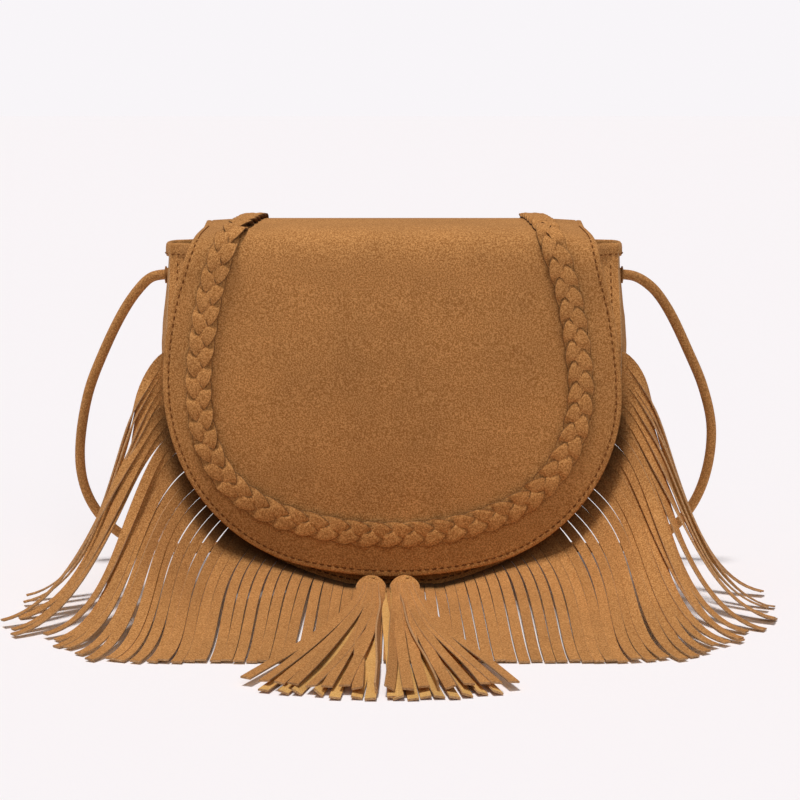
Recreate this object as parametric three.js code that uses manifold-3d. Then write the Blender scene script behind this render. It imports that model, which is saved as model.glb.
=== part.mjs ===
// A fringed suede shoulder bag: a U-shaped pouch with a lift-up flap, a plaited trim, two tassels and a cord strap.
// Millimetres, +Z up. The front faces -Y. The origin is the middle of the base, on the surface the bag stands on.
import * as THREE from "three";
import { mergeVertices } from "three/addons/utils/BufferGeometryUtils.js";
import Module from "manifold-3d";

// Driving dimensions of the pouch.
const HALF_WIDTH = 120; // from the middle to a side seam
const SEAM_RADIUS = 120; // the round lower half of the U
const SEAM_CENTRE_Z = 118; // a little under the radius, so that the base has a flat to stand on
const BODY_TOP = 183; // top edge of the panels
const HALF_DEPTH = 33.4; // from the middle to the gusset's edge
const MOUTH_HALF_DEPTH = 10; // the same at the two ends of the mouth
const MOUTH_FOLD_X = 90; // the panels turn in towards each other from here to the mouth's ends
const PANEL_BULGE = 2;
const GUSSET_BULGE = 6;
const SUEDE = 1.6;
const LINING = 1.2;
const LINING_INSET = 2.4;
const LINING_TOP = 180;
const LINING_SLACK = 1; // the lining hangs this far inside the panels
const GAP = 0.3; // between pieces that touch

// Driving dimensions of the flap. Its outline is three arcs on each side, tangent to each other.
const FLAP_BOTTOM_Z = 8.5;
const FLAP_ARCS = [
  { radius: 207, until: 13.5 },
  { radius: 94, until: 87.5 },
  { radius: 190, until: 108 },
];
const FLAP_FIRST_DEG = 3;
const FLAP_OUTER = 1.2;
const FLAP_PADDING = 0.9;
const FLAP_LINING = 0.9;
const FLAP_FOLD_Y = 36.8; // the fold at the back edge, where the flap turns
const BACK_STRIP = { bottom: 150, top: 186.8, halfWidth: 101, thick: 1.6 };

// Driving dimensions of the fringe, the tassels, the plait and the strap.
const FRINGE_THICK = 1;
const FRINGE_ROOT_RADIUS = 118.6;
const FRINGE_CLEARANCE = 2.4; // how far in from the seam the front panel ends, for the fringe to come out past it
const FRINGE_ROOT_Y = -(HALF_DEPTH + GAP + FRINGE_THICK / 2);
const FRINGE_TOP_DEG = 94;
const FRINGE_LOWEST_Z = 1.1;
const FRINGE_SPREAD = { reach: 192, straight: 0.53, halfFront: 112, sideways: 82, back: 130 };
const BRAID_WIDTH = 13;
const BRAID_THICK = 4.2;
const SNAP = { z: 50, radius: 9, socket: 2.1, stud: 1.9, washer: 0.45 };
const STRAP_DIAMETER = 5.5;
const STRAP_SIDES = 8;
const STRAP_Z = 165;
const STRAP_Y = 4;
const COIL = { x: 0, y: 92, radius: 30, turnsAcross: 2, turnsUp: 2 };

const DEGREE = Math.PI / 180;
const COLOURS = {
  suede: 0xa3692f,
  reverse: 0xc08a45,
  lining: 0x6f5138,
  metal: 0x8d7146,
};

const wasm = await Module();
wasm.setup();

const material = (colour, roughness, metalness = 0) =>
  new THREE.MeshStandardMaterial({ color: colour, roughness, metalness });
const suede = material(COLOURS.suede, 0.95);
const reverseSuede = material(COLOURS.reverse, 0.95);
const liningCloth = material(COLOURS.lining, 0.85);
const snapMetal = material(COLOURS.metal, 0.35, 0.9);

function ramp(from, to, value) {
  const t = Math.min(1, Math.max(0, (value - from) / (to - from)));
  return t * t * (3 - 2 * t);
}

const spread = (count, make) => Array.from({ length: count + 1 }, (_, i) => make(i / count));

// Makes an indexed geometry, turned so that its faces point out.
function closedGeometry(points, triangles) {
  const volume = triangles.reduce((sum, [a, b, c]) => {
    const cross = new THREE.Vector3().crossVectors(points[b], points[c]);
    return sum + points[a].dot(cross);
  }, 0);
  const outward = volume < 0 ? triangles.map(([a, b, c]) => [a, c, b]) : triangles;
  const geometry = new THREE.BufferGeometry().setFromPoints(points);
  geometry.setIndex(outward.flat());
  geometry.computeVertexNormals();
  return geometry;
}

// A closed solid between two grids of points that have the same rows and columns.
function solidBetween(front, back) {
  const rows = front.length;
  const columns = front[0].length;
  const points = [...front.flat(), ...back.flat()];
  const at = (side, row, column) => side * rows * columns + row * columns + column;
  const triangles = [];
  const quad = (a, b, c, d) => triangles.push([a, b, c], [a, c, d]);
  for (let r = 0; r + 1 < rows; r++) {
    for (let c = 0; c + 1 < columns; c++) {
      quad(at(0, r, c), at(0, r, c + 1), at(0, r + 1, c + 1), at(0, r + 1, c));
      quad(at(1, r, c), at(1, r + 1, c), at(1, r + 1, c + 1), at(1, r, c + 1));
    }
    quad(at(0, r, 0), at(0, r + 1, 0), at(1, r + 1, 0), at(1, r, 0));
    quad(at(0, r, columns - 1), at(1, r, columns - 1), at(1, r + 1, columns - 1), at(0, r + 1, columns - 1));
  }
  for (let c = 0; c + 1 < columns; c++) {
    quad(at(0, 0, c), at(1, 0, c), at(1, 0, c + 1), at(0, 0, c + 1));
    quad(at(0, rows - 1, c), at(0, rows - 1, c + 1), at(1, rows - 1, c + 1), at(1, rows - 1, c));
  }
  return closedGeometry(points, triangles);
}

function toManifold(geometry) {
  const bare = geometry.clone();
  bare.deleteAttribute("normal");
  bare.deleteAttribute("uv");
  const merged = mergeVertices(bare, 1e-3);
  return new wasm.Manifold(
    new wasm.Mesh({
      numProp: 3,
      vertProperties: merged.attributes.position.array,
      triVerts: new Uint32Array(merged.index.array),
    }),
  );
}

function fromManifold(solid) {
  const mesh = solid.getMesh();
  const geometry = new THREE.BufferGeometry();
  geometry.setAttribute("position", new THREE.BufferAttribute(mesh.vertProperties, 3));
  geometry.setIndex(new THREE.BufferAttribute(mesh.triVerts, 1));
  geometry.computeVertexNormals();
  return geometry;
}

const group = new THREE.Group();

function add(name, geometry, finish) {
  const mesh = new THREE.Mesh(geometry, finish);
  mesh.name = name;
  group.add(mesh);
  return mesh;
}

// The U of the pouch ---------------------------------------------------------

// How far the mouth's ends have closed, from 0 low down to 1 at the top edge.
const closing = (z) => ramp(128, BODY_TOP, z);

const seamHalfDepth = (z) => HALF_DEPTH - (HALF_DEPTH - MOUTH_HALF_DEPTH) * closing(z);

// Half the U's width at a height, with the whole outline set in by an inset.
function halfWidthAt(z, inset) {
  const radius = SEAM_RADIUS - inset;
  const down = SEAM_CENTRE_Z - z;
  return down <= 0 ? HALF_WIDTH - inset : Math.sqrt(Math.max(0, radius * radius - down * down));
}

// Half the pouch's depth at a point of a panel.
function panelHalfDepth(x, z) {
  const side = ramp(MOUTH_FOLD_X, HALF_WIDTH, Math.abs(x));
  const width = Math.max(1, halfWidthAt(z, 0));
  const crown = Math.max(0, 1 - (x / width) ** 2) * Math.sin(Math.PI * Math.min(1, Math.max(0, z / BODY_TOP)));
  return HALF_DEPTH - (HALF_DEPTH - MOUTH_HALF_DEPTH) * closing(z) * side + PANEL_BULGE * crown;
}

// Heights from the bottom of the outline to a top edge: even steps round the arc, then even steps up.
function outlineHeights(inset, bottom, top) {
  const radius = SEAM_RADIUS - inset;
  const first = Math.acos((SEAM_CENTRE_Z - bottom) / radius);
  const round = spread(12, (t) => SEAM_CENTRE_Z - radius * Math.cos(first + t * (Math.PI / 2 - first)));
  const upright = spread(6, (t) => SEAM_CENTRE_Z + t * (top - SEAM_CENTRE_Z)).slice(1);
  return [...round, ...upright];
}

// A grid of points over the U, with y given by depth(x, z). Above the fringe the outline widens by flare.
function panelGrid(inset, bottom, top, depth, flare = 0) {
  return outlineHeights(inset, bottom, top).map((z) =>
    spread(18, (t) => {
      const across = 2 * t - 1;
      const closerAtEnds = 0.45 * across + 0.55 * Math.sin((across * Math.PI) / 2);
      const x = closerAtEnds * (halfWidthAt(z, inset) + flare * ramp(128, 150, z));
      return new THREE.Vector3(x, depth(x, z), z);
    }),
  );
}

function panel(side, inner, inset) {
  return solidBetween(
    panelGrid(inset, inset, BODY_TOP, (x, z) => side * (panelHalfDepth(x, z) + inner + SUEDE), inset),
    panelGrid(inset, inset, BODY_TOP, (x, z) => side * (panelHalfDepth(x, z) + inner), inset),
  );
}

function pouchSolid(inset, bottom, top, depthInset) {
  return toManifold(
    solidBetween(
      panelGrid(inset, bottom, top, (x, z) => -(panelHalfDepth(x, z) - depthInset)),
      panelGrid(inset, bottom, top, (x, z) => panelHalfDepth(x, z) - depthInset),
    ),
  );
}

function strapHoles(radius) {
  const geometry = new THREE.CylinderGeometry(radius, radius, 4 * HALF_WIDTH, 16);
  geometry.rotateZ(Math.PI / 2);
  geometry.translate(0, STRAP_Y, STRAP_Z);
  return toManifold(geometry);
}

// A point of the gusset: along the U from -1 to 1, across it from -1 at the front to 1 at the back.
function gussetPoint(along, across, inset) {
  const arc = (Math.PI / 2) * SEAM_RADIUS;
  const upright = BODY_TOP - SEAM_CENTRE_Z;
  const run = Math.abs(along) * (arc + upright);
  const angle = Math.min(Math.PI / 2, run / SEAM_RADIUS);
  const z = SEAM_CENTRE_Z - SEAM_RADIUS * Math.cos(angle) + Math.max(0, run - arc);
  const fullness = ramp(30 * DEGREE, 80 * DEGREE, angle) * (1 - 0.65 * closing(z));
  const out = GUSSET_BULGE * fullness * (1 - across * across) - inset;
  const x = Math.sign(along) * (SEAM_RADIUS * Math.sin(angle) + out * Math.sin(angle));
  const height = Math.max(z - out * Math.cos(angle), inset);
  return new THREE.Vector3(x, across * (seamHalfDepth(z) - 0.15), height);
}

const gussetGrid = (inset) =>
  spread(44, (s) => spread(6, (t) => gussetPoint(2 * s - 1, 2 * t - 1, inset)));

const SEAM_LAYERS = FRINGE_THICK + 2 * GAP; // the fringe's strip is caught between gusset and front panel

add("front_panel", panel(-1, SEAM_LAYERS, FRINGE_CLEARANCE), suede);
add("back_panel", panel(1, GAP, 0), suede);

const gusset = toManifold(solidBetween(gussetGrid(0), gussetGrid(SUEDE)));
add("gusset", fromManifold(gusset.subtract(strapHoles(4.1))), suede);

const pouch = pouchSolid(LINING_INSET, LINING_INSET, LINING_TOP, LINING_SLACK);
const hollow = pouchSolid(LINING_INSET + LINING, LINING_INSET + LINING, LINING_TOP + 2, LINING_SLACK + LINING);
add("lining", fromManifold(pouch.subtract(hollow).subtract(strapHoles(3.4))), liningCloth);

// Fringe ---------------------------------------------------------------------

// The middle line of one strand, whose place round the seam is angle. t runs from its root to its tip.
function fringePoint(angleDeg, t) {
  const angle = Math.min(90, Math.abs(angleDeg)) * DEGREE;
  const side = Math.sign(angleDeg);
  const above = Math.max(0, Math.abs(angleDeg) - 90) * DEGREE * FRINGE_ROOT_RADIUS;
  const lean = Math.abs(angleDeg) / FRINGE_TOP_DEG;
  const root = new THREE.Vector3(
    side * FRINGE_ROOT_RADIUS * Math.sin(angle),
    FRINGE_ROOT_Y,
    Math.max(1.8, SEAM_CENTRE_Z - FRINGE_ROOT_RADIUS * Math.cos(angle) + above),
  );
  const hang = ramp(0.35, 0.95, lean); // the side strands hang first, then flare
  const reach = 52 - 25 * hang;
  const outward = 0.15 + 0.85 * ramp(0.15, 0.6, lean);
  const down = Math.min(0.9 * Math.cos(angle) * reach, root.z - 1.8) * ramp(0.15, 0.5, lean) + 10 * hang;
  const leave = new THREE.Vector3(side * Math.sin(angle) * outward * reach, -0.75 * (1 - lean) ** 2 * reach, -down);
  const tip = fringeTip(angleDeg);
  const inward = 0.1 * lean + 0.6 * lean * ramp(0.35, 0.8, lean);
  const land = new THREE.Vector3(-side * inward, 1 - 0.82 * lean, 0.1 * lean * lean);
  const curve = new THREE.CubicBezierCurve3(
    root,
    root.clone().add(leave),
    tip.clone().addScaledVector(land, 70),
    tip,
  );
  const point = curve.getPoint(t);
  point.z = Math.max(point.z, FRINGE_LOWEST_Z);
  return point;
}

// Where a strand's tip lies on the ground: on a straight front, then round a quarter ellipse to the side.
function fringeTip(angleDeg) {
  const side = Math.sign(angleDeg);
  const lean = Math.abs(angleDeg) / FRINGE_TOP_DEG;
  const { reach, straight, halfFront, sideways, back } = FRINGE_SPREAD;
  const turn = Math.max(0, (lean - straight) / (1 - straight)) * 90 * DEGREE;
  const outward = halfFront * Math.min(1, lean / straight) + sideways * Math.sin(turn);
  return new THREE.Vector3(side * outward, -reach + back * (1 - Math.cos(turn)), FRINGE_LOWEST_Z);
}

function fringeSolid() {
  const columns = 36;
  const rows = 9;
  const middle = spread(rows, (t) =>
    spread(columns, (u) => fringePoint((2 * u - 1) * FRINGE_TOP_DEG, t)),
  );
  const offset = (distance) =>
    middle.map((row, r) =>
      row.map((point, c) => {
        const along = middle[Math.min(rows, r + 1)][c].clone().sub(middle[Math.max(0, r - 1)][c]);
        const across = row[Math.min(columns, c + 1)].clone().sub(row[Math.max(0, c - 1)]);
        const normal = across.cross(along).normalize();
        return point.clone().addScaledVector(normal, distance);
      }),
    );
  return solidBetween(offset(FRINGE_THICK / 2), offset(-FRINGE_THICK / 2));
}

add("fringe", fringeSolid(), suede);

// Flap -----------------------------------------------------------------------

// The flap's outline as points { x, z } of its right side, from the bottom up.
function flapOutline() {
  const points = [];
  let centre = new THREE.Vector2(0, FLAP_BOTTOM_Z + FLAP_ARCS[0].radius);
  let start = FLAP_FIRST_DEG;
  FLAP_ARCS.forEach(({ radius, until }, i) => {
    const steps = Math.ceil((until - start) / 9);
    spread(steps, (t) => (start + t * (until - start)) * DEGREE).forEach((angle, j) => {
      if (i > 0 && j === 0) return;
      points.push({ x: centre.x + radius * Math.sin(angle), z: centre.y - radius * Math.cos(angle) });
    });
    const next = FLAP_ARCS[i + 1];
    if (!next) return;
    const shift = radius - next.radius;
    const turn = until * DEGREE;
    centre = centre.clone().add(new THREE.Vector2(shift * Math.sin(turn), -shift * Math.cos(turn)));
    start = until;
  });
  return points;
}

// The flap's outer face in side view, from the bottom edge up the front, over the mouth and down to the hinge.
const FRONT_FACE = [
  [8.5, -47.6],
  [36, -46.9],
  [64, -46.9],
  [100, -45.6],
  [140, -44.4],
  [168, -43.6],
];
const OVER_THE_MOUTH = [
  { y: -43.2, z: 178, x: 108.4 },
  { y: -41.4, z: 184.6, x: 106.6 },
  { y: -37, z: 189.2, x: 105.6 },
  { y: -29, z: 191.6, x: 105.2 },
  { y: -8, z: 192.2, x: 104.8 },
  { y: 12, z: 192, x: 104.2 },
  { y: 27, z: 191.4, x: 103.6 },
  { y: FLAP_FOLD_Y, z: 190.6, x: 103.2 },
];

function frontFaceY(z) {
  const next = FRONT_FACE.findIndex(([height]) => height >= z);
  if (next <= 0) return next === 0 ? FRONT_FACE[0][1] : FRONT_FACE[FRONT_FACE.length - 1][1];
  const [z0, y0] = FRONT_FACE[next - 1];
  const [z1, y1] = FRONT_FACE[next];
  return y0 + ((y1 - y0) * (z - z0)) / (z1 - z0);
}

const flapRows = [
  ...flapOutline()
    .filter(({ z }) => z < 172)
    .map(({ x, z }) => ({ y: frontFaceY(z), z, x })),
  ...OVER_THE_MOUTH,
];

// The outward direction of the flap's face at a row, in side view.
function flapNormal(row) {
  const before = flapRows[Math.max(0, row - 1)];
  const after = flapRows[Math.min(flapRows.length - 1, row + 1)];
  return new THREE.Vector3(0, -(after.z - before.z), after.y - before.y).normalize();
}

function flapGrid(depth, inset) {
  return flapRows.map(({ x, y, z }, row) => {
    const normal = flapNormal(row);
    return spread(12, (t) => {
      const across = 2 * t - 1;
      const point = new THREE.Vector3(across * (x - inset), y, z + (row === 0 ? inset : 0));
      return point.addScaledVector(normal, -depth);
    });
  });
}

const FLAP_LINING_DEPTH = FLAP_OUTER + FLAP_PADDING;
add("flap_outer", solidBetween(flapGrid(0, 0), flapGrid(FLAP_OUTER, 0)), suede);
add(
  "flap_lining",
  solidBetween(flapGrid(FLAP_LINING_DEPTH, 0.6), flapGrid(FLAP_LINING_DEPTH + FLAP_LINING, 0.6)),
  reverseSuede,
);

// The part of the flap's sheet behind its fold, sewn down on the back panel.
function backStripGrid(depth) {
  return spread(5, (s) => {
    const z = BACK_STRIP.bottom + s * (BACK_STRIP.top - BACK_STRIP.bottom);
    return spread(14, (t) => {
      const x = (2 * t - 1) * (BACK_STRIP.halfWidth - 5 * (1 - Math.min(1, 4 * s)) ** 2);
      const onPanel = panelHalfDepth(Math.min(Math.abs(x), MOUTH_FOLD_X), z) + SUEDE + 2 * GAP;
      return new THREE.Vector3(x, onPanel + depth, z);
    });
  });
}

add("flap_back_strip", solidBetween(backStripGrid(BACK_STRIP.thick), backStripGrid(0)), suede);

// Plaited trim ---------------------------------------------------------------

// The trim's middle line on the flap as [x, z], hand laid, with the two ends over the mouth given as [x, z, y].
const BRAID_LINE = [
  [-76.5, 191.4, 27],
  [-77.5, 192, 12],
  [-79, 192.2, -8],
  [-81, 191.6, -29],
  [-84, 189.2, -37],
  [-87.5, 184.6, -41.4],
  [-91.5, 176],
  [-96, 160],
  [-100, 138],
  [-102.6, 112],
  [-99.8, 84],
  [-88.5, 61],
  [-70.5, 46.5],
  [-49, 38],
  [-24, 33],
  [0, 31.6],
  [25, 33.4],
  [50, 40],
  [70, 50],
  [87, 68],
  [95.3, 87],
  [98.2, 106],
  [95.6, 135],
  [91.8, 156],
  [86.8, 174],
  [82.5, 184.6, -41.4],
  [80.5, 189.2, -37],
  [79, 191.6, -29],
  [78, 192.2, -8],
  [77, 192, 12],
  [76, 191.4, 27],
];

const BRAID_FOLD_Z = 172; // above this the trim bridges the flap's fold

function braidSolid() {
  const line = BRAID_LINE.map(([x, z, y]) => new THREE.Vector3(x, y === undefined ? frontFaceY(z) : y, z));
  const normals = BRAID_LINE.map(([, z, y]) => {
    const row = flapRows.findIndex((r) => (y === undefined ? r.z >= z : Math.abs(r.y - y) < 0.01));
    return flapNormal(row);
  });
  const corners = (distance) =>
    line.map((point, i) => {
      const along = line[Math.min(line.length - 1, i + 1)].clone().sub(line[Math.max(0, i - 1)]);
      const across = along.cross(normals[i]).normalize();
      return [-1, -0.6, 0, 0.6, 1].map((t) => {
        const crown = Math.sqrt(1 - 0.75 * t * t);
        const clear = line[i].z > BRAID_FOLD_Z ? 1.1 : 0.35;
        const height = distance === 0 ? clear : clear + BRAID_THICK * crown;
        return point
          .clone()
          .addScaledVector(across, (t * BRAID_WIDTH) / 2)
          .addScaledVector(normals[i], height);
      });
    });
  return solidBetween(corners(1), corners(0));
}

add("braid", braidSolid(), suede);

// Magnetic snap --------------------------------------------------------------

// A ring turned about the Y axis. profile is [radius, distance behind y].
function turnedAlongY(profile, y, z) {
  const outline = profile.map(([radius, behind]) => new THREE.Vector2(radius, behind));
  const geometry = toClosed(new THREE.LatheGeometry(outline, 24));
  geometry.translate(0, y, z);
  return geometry;
}

// A turned or mirrored geometry with its vertices merged and its faces out.
function toClosed(geometry) {
  const bare = geometry.clone();
  bare.deleteAttribute("normal");
  bare.deleteAttribute("uv");
  const merged = mergeVertices(bare, 1e-3);
  const points = [];
  for (let i = 0; i < merged.attributes.position.count; i++) {
    points.push(new THREE.Vector3().fromBufferAttribute(merged.attributes.position, i));
  }
  const triangles = [];
  for (let i = 0; i < merged.index.count; i += 3) {
    const triangle = [0, 1, 2].map((k) => merged.index.getX(i + k));
    if (new Set(triangle).size === 3) triangles.push(triangle);
  }
  return closedGeometry(points, triangles);
}

const panelFaceY = -(panelHalfDepth(0, SNAP.z) + SEAM_LAYERS + SUEDE);
const flapInnerY = frontFaceY(SNAP.z) + FLAP_LINING_DEPTH + FLAP_LINING;
const socketBackY = panelFaceY - 0.35;
const studBackY = flapInnerY + 0.35;
const NUB_RADIUS = 2.4;
const NUB_HOLE_RADIUS = 4;
const NUB_LENGTH = 1;

add(
  "snap_socket",
  turnedAlongY(
    [
      [NUB_HOLE_RADIUS, 0],
      [SNAP.radius, 0],
      [SNAP.radius, -SNAP.socket * 0.7],
      [SNAP.radius - 1, -SNAP.socket],
      [NUB_HOLE_RADIUS, -SNAP.socket],
      [NUB_HOLE_RADIUS, 0],
    ],
    socketBackY,
    SNAP.z,
  ),
  snapMetal,
);
add(
  "snap_stud",
  turnedAlongY(
    [
      [0, 0],
      [SNAP.radius, 0],
      [SNAP.radius, SNAP.stud * 0.7],
      [SNAP.radius - 1, SNAP.stud],
      [NUB_RADIUS, SNAP.stud],
      [NUB_RADIUS, SNAP.stud + NUB_LENGTH],
      [0, SNAP.stud + NUB_LENGTH],
    ],
    studBackY,
    SNAP.z,
  ),
  snapMetal,
);

function washer(name, y) {
  const profile = [
    [3, 0],
    [SNAP.radius, 0],
    [SNAP.radius, SNAP.washer],
    [3, SNAP.washer],
    [3, 0],
  ];
  add(name, turnedAlongY(profile, y, SNAP.z), snapMetal);
}

washer("snap_socket_washer", -(panelHalfDepth(0, SNAP.z) + 1.25));
washer("snap_stud_washer", frontFaceY(SNAP.z) + FLAP_OUTER + (FLAP_PADDING - SNAP.washer) / 2);

// Tassels --------------------------------------------------------------------

const TASSEL_X = 8.6;
const TASSEL_HEAD_Y = -50.2;

// A tassel as rows of [distance forward, half width, sideways drift, height of its middle, thickness].
const TASSEL_ROWS = [
  [0, 6.5, 0, 5.6, 3],
  [4, 8, 0, 5.6, 3],
  [30, 11.5, 0.04, 5.4, 4],
  [70, 17, 0.16, 5, 4],
  [110, 23, 0.4, 4.6, 4],
  [150, 29, 0.72, 4.4, 3.6],
  [202, 34, 1, 4.2, 3.2],
];
const TASSEL_DRIFT = 26;

function tasselSolid(side) {
  const face = (up) =>
    TASSEL_ROWS.map(([forward, halfWidth, drift, height, thickness]) =>
      [-1, -0.6, 0, 0.6, 1].map((t) => {
        const reach = forward * Math.sqrt(1 - 0.09 * t * t);
        const inner = side * t < 0 ? Math.min(1, (8.2 + drift * TASSEL_DRIFT) / halfWidth) : 1;
        return new THREE.Vector3(
          side * (TASSEL_X + drift * TASSEL_DRIFT) + t * halfWidth * inner,
          TASSEL_HEAD_Y - reach,
          height + (up * thickness) / 2,
        );
      }),
    );
  return solidBetween(face(1), face(-1));
}

const THONG_RADIUS = 0.4;

// The thong is caught between the flap's two layers, comes out under its edge and lies on the tassel's head.
function thongSolid(side) {
  const x = side * TASSEL_X;
  const betweenLayers = frontFaceY(FLAP_BOTTOM_Z) + FLAP_OUTER + FLAP_PADDING / 2;
  const route = new THREE.CatmullRomCurve3([
    new THREE.Vector3(x, betweenLayers + 0.08, 12),
    new THREE.Vector3(x, betweenLayers, 9),
    new THREE.Vector3(x, betweenLayers - 0.2, 8.1),
    new THREE.Vector3(x, betweenLayers - 1.1, 7.95),
    new THREE.Vector3(x, betweenLayers - 2.2, 7.9),
    new THREE.Vector3(x, betweenLayers - 3.8, 7.6),
  ]);
  const section = new THREE.Shape().absarc(0, 0, THONG_RADIUS, 0, 2 * Math.PI);
  const options = { steps: 16, curveSegments: 4, bevelEnabled: false, extrudePath: route };
  return new THREE.ExtrudeGeometry(section, options);
}

[
  ["left", -1],
  ["right", 1],
].forEach(([name, side]) => {
  add(`tassel_${name}`, tasselSolid(side), suede);
  add(`tassel_thong_${name}`, thongSolid(side), suede);
});

// Strap, eyelets and knots ---------------------------------------------------

const EYELET_X = 124.6; // the flange's outer face
const LINING_INNER_X = HALF_WIDTH - LINING_INSET - LINING;
const KNOT_RADIUS = 5.5;

function eyelet(side) {
  const profile = [
    [3.15, 0],
    [4.7, 0],
    [4.7, 0.6],
    [3.8, 0.6],
    [3.8, 5.2],
    [5.2, 5.2],
    [5.2, 5.7],
    [3.15, 5.7],
    [3.15, 0],
  ].map(([radius, inward]) => new THREE.Vector2(radius, inward));
  const geometry = new THREE.LatheGeometry(profile, 16);
  geometry.rotateZ(Math.PI / 2);
  geometry.translate(EYELET_X, STRAP_Y, STRAP_Z);
  if (side < 0) geometry.scale(-1, 1, 1);
  return toClosed(geometry);
}

function knot(side) {
  const geometry = new THREE.SphereGeometry(KNOT_RADIUS, 12, 8);
  geometry.scale(1, 1.1, 0.95);
  geometry.translate(side * (LINING_INNER_X - GAP - KNOT_RADIUS), STRAP_Y, STRAP_Z);
  return toClosed(geometry);
}

// The strap's middle line outside the bag, laid by hand, from each eyelet down to the ground and back to the coil.
const LEFT_ROUTE = [
  [-127, 4, 165],
  [-133, 5.5, 163.2],
  [-140.5, 8.5, 156],
  [-149, 12, 144],
  [-160.5, 16, 121.8],
  [-170.5, 19, 96.5],
  [-176, 22, 62.6],
  [-173.8, 25, 42.7],
  [-166.2, 29, 26.5],
  [-153, 35, 13],
  [-136, 43, 5.5],
  [-116, 51, 3],
  [-94, 58, 2.9],
  [-72, 60.5, 2.9],
  [-48, 59.6, 2.9],
  [-23, 59.3, 2.9],
];
const RIGHT_ROUTE = [
  [127, 4, 165],
  [133, 5.5, 163.4],
  [142, 8.5, 157],
  [151, 12, 145],
  [163, 16, 121.5],
  [172, 19, 101],
  [177.5, 22, 78],
  [176, 25, 54],
  [169.5, 29, 34],
  [158, 35, 17.5],
  [142, 43, 7],
  [122, 51, 3.2],
  [98, 56.5, 2.9],
  [76, 59.4, 3.4],
  [48, 59.8, 6.4],
  [23, 59.3, 8.3],
];

const vectors = (points) => points.map(([x, y, z]) => new THREE.Vector3(x, y, z));

function cordTube(side, route) {
  const start = new THREE.Vector3(side * (LINING_INNER_X - 0.1), STRAP_Y, STRAP_Z);
  const curve = new THREE.CatmullRomCurve3([start, ...vectors(route)], false, "centripetal");
  const section = new THREE.Shape().absarc(0, 0, STRAP_DIAMETER / 2, 0, 2 * Math.PI);
  const steps = Math.round(curve.getLength() / (2.6 * STRAP_DIAMETER)) + 6;
  const options = { steps, curveSegments: STRAP_SIDES / 2, bevelEnabled: false, extrudePath: curve };
  return new THREE.ExtrudeGeometry(section, options);
}

function coilRing() {
  const inner = COIL.radius - (COIL.turnsAcross * STRAP_DIAMETER) / 2;
  const outer = COIL.radius + (COIL.turnsAcross * STRAP_DIAMETER) / 2;
  const top = COIL.turnsUp * STRAP_DIAMETER + 0.4;
  const profile = [
    [inner, 0.15],
    [outer, 0.15],
    [outer, top],
    [inner, top],
    [inner, 0.15],
  ].map(([radius, height]) => new THREE.Vector2(radius, height));
  const geometry = new THREE.LatheGeometry(profile, 32);
  geometry.rotateX(Math.PI / 2);
  geometry.translate(COIL.x, COIL.y, 0);
  return toClosed(geometry);
}

[
  ["left", -1, LEFT_ROUTE],
  ["right", 1, RIGHT_ROUTE],
].forEach(([name, side, route]) => {
  add(`strap_eyelet_${name}`, eyelet(side), suede);
  add(`strap_knot_${name}`, knot(side), suede);
  add(`strap_${name}`, cordTube(side, route), suede);
});
add("strap_coil", coilRing(), suede);

export default group;
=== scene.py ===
import math
import random

import bmesh
import bpy
import numpy as np
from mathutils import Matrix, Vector, noise


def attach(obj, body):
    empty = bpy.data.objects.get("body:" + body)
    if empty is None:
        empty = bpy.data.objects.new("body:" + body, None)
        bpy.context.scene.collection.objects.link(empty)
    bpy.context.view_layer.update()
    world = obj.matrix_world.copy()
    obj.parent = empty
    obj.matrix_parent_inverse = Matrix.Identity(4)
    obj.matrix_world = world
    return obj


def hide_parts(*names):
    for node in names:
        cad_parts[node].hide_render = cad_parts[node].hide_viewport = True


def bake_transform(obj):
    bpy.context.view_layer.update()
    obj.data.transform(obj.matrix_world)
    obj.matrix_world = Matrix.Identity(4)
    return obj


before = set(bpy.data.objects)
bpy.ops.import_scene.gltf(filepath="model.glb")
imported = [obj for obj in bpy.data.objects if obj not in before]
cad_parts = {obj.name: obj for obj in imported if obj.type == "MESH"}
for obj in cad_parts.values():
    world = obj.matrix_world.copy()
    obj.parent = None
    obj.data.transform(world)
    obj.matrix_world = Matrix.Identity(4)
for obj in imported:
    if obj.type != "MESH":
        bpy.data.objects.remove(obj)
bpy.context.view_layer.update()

MM = 0.001  # sizes are in millimetres, apart from those of the camera, the floor and the materials
UP = np.array([0.0, 0.0, 1.0])


def put(value, socket):
    """Joins another node's output to a socket, or gives the socket a value."""
    if hasattr(value, "is_output"):
        socket.id_data.links.new(value, socket)
    else:
        socket.default_value = value


def fill(node, **values):
    """Sets a node's inputs. A name has _ for each space."""
    for name, value in values.items():
        put(value, node.inputs[name.replace("_", " ")])


# Camera, floor and light -------------------

CAMERA_PLACE = (0, -1.150, 0.2603)
CAMERA_DOWN = 8.104  # degrees below the horizon
CAMERA_LENS = 95.4
CAMERA_SENSOR = 36
CAMERA_SHIFT = 0.0075
FLOOR_HALF = 30
FLOOR_COLOUR = (0.93, 0.905, 0.93, 1)
BACKDROP_COLOUR = (0.94, 0.915, 0.94, 1)
ROOM_COLOUR = (1.0, 0.975, 1.0, 1)
ROOM_STRENGTH = 0.16
LAMP_COLOUR = (1.0, 0.985, 0.97)
# Each lamp's name, power, width and turn, in degrees.
LAMPS = [("softbox", 2.5, 12, (8, -7, 0)), ("fill", 0.44, 40, (54, 14, 0))]


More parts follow.
